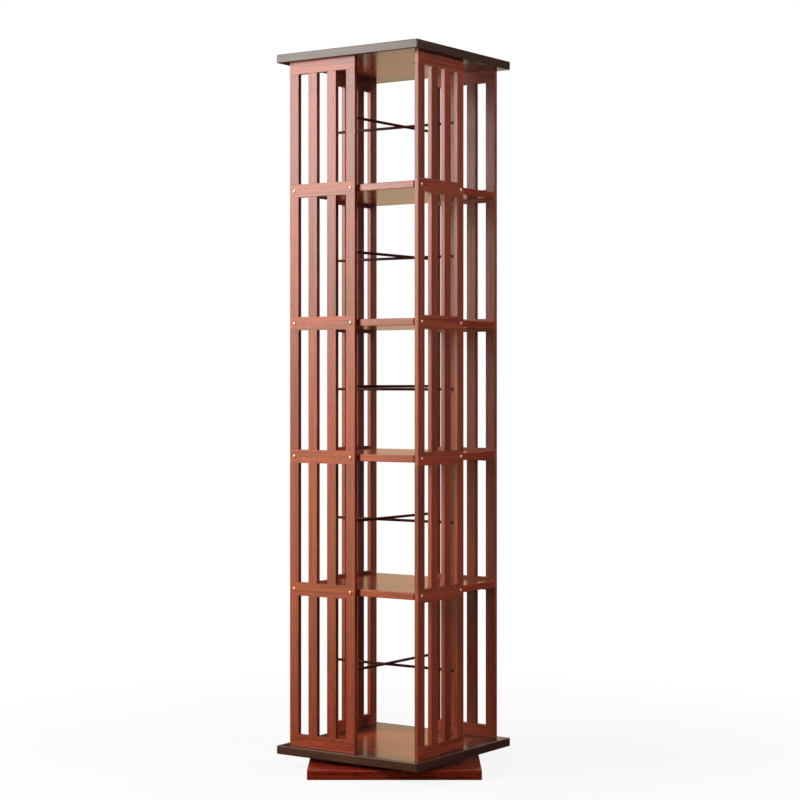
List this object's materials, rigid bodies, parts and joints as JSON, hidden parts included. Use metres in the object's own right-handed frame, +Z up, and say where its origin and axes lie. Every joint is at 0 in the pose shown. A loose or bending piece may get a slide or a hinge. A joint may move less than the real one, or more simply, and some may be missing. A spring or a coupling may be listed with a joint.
{
  "type": "rotating shelf unit",
  "caption": "Tall revolving wooden bookcase: slatted side panels in a pinwheel hold square shelves between boards, with cross rods as book stops, on a ball-bearing turntable base.",
  "frame": {"origin": "on the swivel axis, on the floor under the middle of the base", "axes": "+Z up along the swivel axis; the sides of the tower are square to X and Y, the front panel faces -Y; the base is turned 34.57 degrees about +Z as in the picture"},
  "size_m": [0.5036, 0.5036, 1.524],
  "materials": {
    "base_wood": "satin varnish over dark red-brown stain",
    "board_wood": "satin varnish over dark brown stain",
    "shelf_wood": "satin varnish over red-brown stain",
    "panel_wood": "satin varnish over red-brown stain",
    "rod_metal": "satin dark brown",
    "screw_brass": "polished",
    "bearing_steel": "zinc plated"
  },
  "bodies": {
    "base": {"base_board": "base_wood", "bearing_lower_plate": "bearing_steel", "lower_plate_screw_1": "bearing_steel", "lower_plate_screw_2": "bearing_steel"},
    "ball_ring": {"bearing_ball_ring": "bearing_steel"},
    "tower": {"bearing_upper_plate": "bearing_steel", "upper_plate_screw_1": "bearing_steel", "upper_plate_screw_2": "bearing_steel", "bottom_board": "board_wood", "top_board": "board_wood", "shelf_1": "shelf_wood", "shelf_2": "shelf_wood", "shelf_3": "shelf_wood", "shelf_4": "shelf_wood", "side_panel_front": "panel_wood", "side_panel_right": "panel_wood", "side_panel_back": "panel_wood", "side_panel_left": "panel_wood", "cross_rod_x_1": "rod_metal", "cross_rod_x_2": "rod_metal", "cross_rod_x_3": "rod_metal", "cross_rod_x_4": "rod_metal", "cross_rod_x_5": "rod_metal", "cross_rod_y_1": "rod_metal", "cross_rod_y_2": "rod_metal", "cross_rod_y_3": "rod_metal", "cross_rod_y_4": "rod_metal", "cross_rod_y_5": "rod_metal", "shelf_screw_front_1_a": "screw_brass", "shelf_screw_front_1_b": "screw_brass", "shelf_screw_front_2_a": "screw_brass", "shelf_screw_front_2_b": "screw_brass", "shelf_screw_front_3_a": "screw_brass", "shelf_screw_front_3_b": "screw_brass", "shelf_screw_front_4_a": "screw_brass", "shelf_screw_front_4_b": "screw_brass", "shelf_screw_right_1_a": "screw_brass", "shelf_screw_right_1_b": "screw_brass", "shelf_screw_right_2_a": "screw_brass", "shelf_screw_right_2_b": "screw_brass", "shelf_screw_right_3_a": "screw_brass", "shelf_screw_right_3_b": "screw_brass", "shelf_screw_right_4_a": "screw_brass", "shelf_screw_right_4_b": "screw_brass", "shelf_screw_back_1_a": "screw_brass", "shelf_screw_back_1_b": "screw_brass", "shelf_screw_back_2_a": "screw_brass", "shelf_screw_back_2_b": "screw_brass", "shelf_screw_back_3_a": "screw_brass", "shelf_screw_back_3_b": "screw_brass", "shelf_screw_back_4_a": "screw_brass", "shelf_screw_back_4_b": "screw_brass", "shelf_screw_left_1_a": "screw_brass", "shelf_screw_left_1_b": "screw_brass", "shelf_screw_left_2_a": "screw_brass", "shelf_screw_left_2_b": "screw_brass", "shelf_screw_left_3_a": "screw_brass", "shelf_screw_left_3_b": "screw_brass", "shelf_screw_left_4_a": "screw_brass", "shelf_screw_left_4_b": "screw_brass"}
  },
  "joints": [
    {"name": "swivel", "type": "hinge", "parent": "base", "child": "tower", "pos_m": [0, 0, 0.02475], "axis": [0, 0, 1], "continuous": true},
    {"name": "ball_ring_roll", "type": "hinge", "parent": "base", "child": "ball_ring", "pos_m": [0, 0, 0.02475], "axis": [0, 0, 1], "continuous": true}
  ],
  "couplings": [
    {"joint": "ball_ring_roll", "follows": "swivel", "ratio": 0.5}
  ]
}
